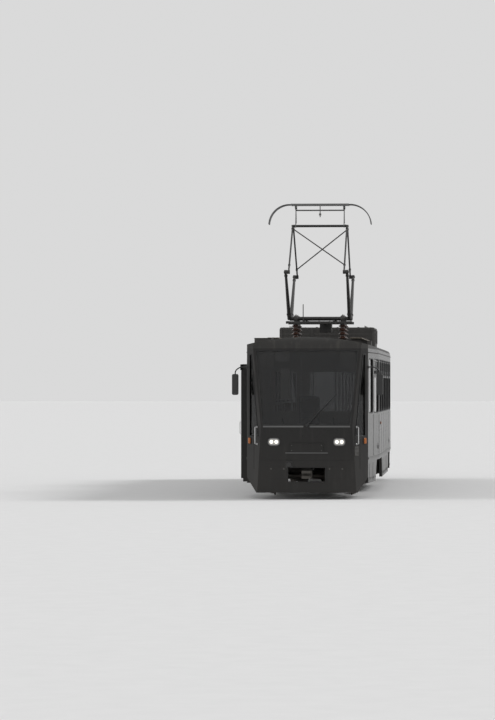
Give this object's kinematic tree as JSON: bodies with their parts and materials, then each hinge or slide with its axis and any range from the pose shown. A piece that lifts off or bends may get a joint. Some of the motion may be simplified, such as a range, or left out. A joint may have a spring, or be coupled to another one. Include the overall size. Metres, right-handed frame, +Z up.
{
  "type": "four-axle single tram car",
  "caption": "Single electric tram car with tapered ends, wraparound corner windows, sliding doors, two bogies and a folding diamond pantograph on its roof.",
  "frame": {"origin": "on the floor under the middle of the car, at the wheel flanges' lowest points", "axes": "+X forward along the car, +Y to the car's left, +Z up"},
  "size_m": [15.0292, 2.854, 5.84],
  "materials": {
    "body_paint": "satin coach paint",
    "roof_paint": "weathered roof paint",
    "window_glass": "grey window glass",
    "floor_covering": "ribbed floor covering",
    "step_metal": "chequered step plate",
    "frame_paint": "underframe paint",
    "lining": "laminate lining",
    "desk_plastic": "moulded desk",
    "seat_cover": "seat cover",
    "seat_shell": "moulded shell seat",
    "rail_steel": "tube",
    "lamp_glass": "lit lamp glass",
    "red_lens": "lamp lens",
    "trim_metal": "bright trim",
    "black_rubber": "rubber",
    "black_plastic": "plastic",
    "roof_gear_paint": "sooty paint",
    "board_wood": "weathered boards",
    "pantograph_steel": "painted tube",
    "contact_metal": "worn strip",
    "insulator_ceramic": "glazed",
    "cast_steel": "casting",
    "spring_steel": "spring",
    "wheel_steel": "rolled steel with bright tread"
  },
  "bodies": {
    "carbody": {"roof_shell": "roof_paint", "side_wall_left": "body_paint", "side_wall_right": "body_paint", "front_mask": "body_paint", "rear_mask": "body_paint", "side_glass": "window_glass", "end_glass": "window_glass", "floor": "floor_covering", "step_wells": "step_metal", "underframe": "frame_paint", "coupler_brackets": "frame_paint", "underfloor_boxes": "frame_paint", "door_rails": "body_paint", "cab_wall": "lining", "driver_desk": "desk_plastic", "driver_seat": "seat_cover", "seats_left": "seat_shell", "seats_right": "seat_shell", "handrails": "rail_steel", "headlamps": "lamp_glass", "tail_lamps": "red_lens", "body_trim": "trim_metal", "wiper": "black_rubber", "mirrors": "black_plastic", "resistor_boxes": "roof_gear_paint", "walking_boards": "board_wood", "roof_fittings": "roof_gear_paint", "pantograph_base": "pantograph_steel", "pantograph_insulators": "insulator_ceramic"},
    "cab_door": {"cab_door": "lining"},
    "bogie_front": {"bogie_frame_front": "frame_paint", "bogie_bolster_front": "frame_paint", "bogie_springs_front": "spring_steel", "traction_drives_front": "cast_steel", "rail_brakes_front": "cast_steel"},
    "bogie_rear": {"bogie_frame_rear": "frame_paint", "bogie_bolster_rear": "frame_paint", "bogie_springs_rear": "spring_steel", "traction_drives_rear": "cast_steel", "rail_brakes_rear": "cast_steel"},
    "wheelset_1": {"wheelset_1": "wheel_steel"},
    "wheelset_2": {"wheelset_2": "wheel_steel"},
    "wheelset_3": {"wheelset_3": "wheel_steel"},
    "wheelset_4": {"wheelset_4": "wheel_steel"},
    "coupler_front": {"coupler_front": "cast_steel"},
    "coupler_rear": {"coupler_rear": "cast_steel"},
    "door_front": {"door_front": "body_paint", "door_glass_front": "window_glass"},
    "door_middle_front": {"door_middle_front": "body_paint", "door_glass_middle_front": "window_glass"},
    "door_middle_rear": {"door_middle_rear": "body_paint", "door_glass_middle_rear": "window_glass"},
    "door_rear": {"door_rear": "body_paint", "door_glass_rear": "window_glass"},
    "pantograph_lower_front": {"pantograph_lower_front": "pantograph_steel"},
    "pantograph_lower_rear": {"pantograph_lower_rear": "pantograph_steel"},
    "pantograph_upper_front": {"pantograph_upper_front": "pantograph_steel"},
    "pantograph_upper_rear": {"pantograph_upper_rear": "pantograph_steel"},
    "pantograph_head": {"pantograph_head": "contact_metal"}
  },
  "joints": [
    {"name": "bogie_swivel_front", "type": "hinge", "parent": "carbody", "child": "bogie_front", "pos_m": [3.75, 0, 0.7], "axis": [0, 0, 1], "range_deg": [-11, 11]},
    {"name": "bogie_swivel_rear", "type": "hinge", "parent": "carbody", "child": "bogie_rear", "pos_m": [-3.75, 0, 0.7], "axis": [0, 0, 1], "range_deg": [-11, 11]},
    {"name": "axle_1", "type": "hinge", "parent": "bogie_front", "child": "wheelset_1", "pos_m": [4.72, 0, 0.378], "axis": [0, 1, 0], "continuous": true},
    {"name": "axle_2", "type": "hinge", "parent": "bogie_front", "child": "wheelset_2", "pos_m": [2.78, 0, 0.378], "axis": [0, 1, 0], "continuous": true},
    {"name": "axle_3", "type": "hinge", "parent": "bogie_rear", "child": "wheelset_3", "pos_m": [-2.78, 0, 0.378], "axis": [0, 1, 0], "continuous": true},
    {"name": "axle_4", "type": "hinge", "parent": "bogie_rear", "child": "wheelset_4", "pos_m": [-4.72, 0, 0.378], "axis": [0, 1, 0], "continuous": true},
    {"name": "coupler_swing_front", "type": "hinge", "parent": "carbody", "child": "coupler_front", "pos_m": [6.6, 0, 0.465], "axis": [0, 0, 1], "range_deg": [-15, 15]},
    {"name": "coupler_swing_rear", "type": "hinge", "parent": "carbody", "child": "coupler_rear", "pos_m": [-6.6, 0, 0.465], "axis": [0, 0, 1], "range_deg": [-15, 15]},
    {"name": "front_door_slide", "type": "slide", "parent": "carbody", "child": "door_front", "axis": [1, 0, 0], "range_m": [-0.8, 0]},
    {"name": "middle_front_door_slide", "type": "slide", "parent": "carbody", "child": "door_middle_front", "axis": [1, 0, 0], "range_m": [0, 0.69]},
    {"name": "middle_rear_door_slide", "type": "slide", "parent": "carbody", "child": "door_middle_rear", "axis": [1, 0, 0], "range_m": [-0.69, 0]},
    {"name": "rear_door_slide", "type": "slide", "parent": "carbody", "child": "door_rear", "axis": [1, 0, 0], "range_m": [0, 0.8]},
    {"name": "cab_door_hinge", "type": "hinge", "parent": "carbody", "child": "cab_door", "pos_m": [6.106, -0.16, 1.5], "axis": [0, 0, 1], "range_deg": [-90, 0]},
    {"name": "pantograph_raise", "type": "hinge", "parent": "carbody", "child": "pantograph_lower_front", "pos_m": [2.1, 0, 3.5], "axis": [0, -1, 0], "range_deg": [-32.7, 8]},
    {"name": "pantograph_rear_shaft", "type": "hinge", "parent": "carbody", "child": "pantograph_lower_rear", "pos_m": [1.4, 0, 3.5], "axis": [0, 1, 0], "range_deg": [-33.7, 9]},
    {"name": "pantograph_front_knee", "type": "hinge", "parent": "pantograph_lower_front", "child": "pantograph_upper_front", "pos_m": [3.45, 0, 4.4], "axis": [0, -1, 0], "range_deg": [-15.2, 59.2]},
    {"name": "pantograph_rear_knee", "type": "hinge", "parent": "pantograph_lower_rear", "child": "pantograph_upper_rear", "pos_m": [0.05, 0, 4.4], "axis": [0, 1, 0], "range_deg": [-15.2, 59.2]},
    {"name": "pantograph_head_pivot", "type": "hinge", "parent": "pantograph_upper_front", "child": "pantograph_head", "pos_m": [1.87, 0, 5.39], "axis": [0, -1, 0], "range_deg": [-26.5, 7.2]}
  ],
  "couplings": [
    {"joint": "middle_rear_door_slide", "follows": "middle_front_door_slide", "ratio": -1},
    {"joint": "pantograph_rear_shaft", "follows": "pantograph_raise", "ratio": 1},
    {"joint": "pantograph_front_knee", "follows": "pantograph_raise", "ratio": -1.7795},
    {"joint": "pantograph_rear_knee", "follows": "pantograph_raise", "ratio": -1.7795},
    {"joint": "pantograph_head_pivot", "follows": "pantograph_raise", "ratio": 0.7795}
  ]
}
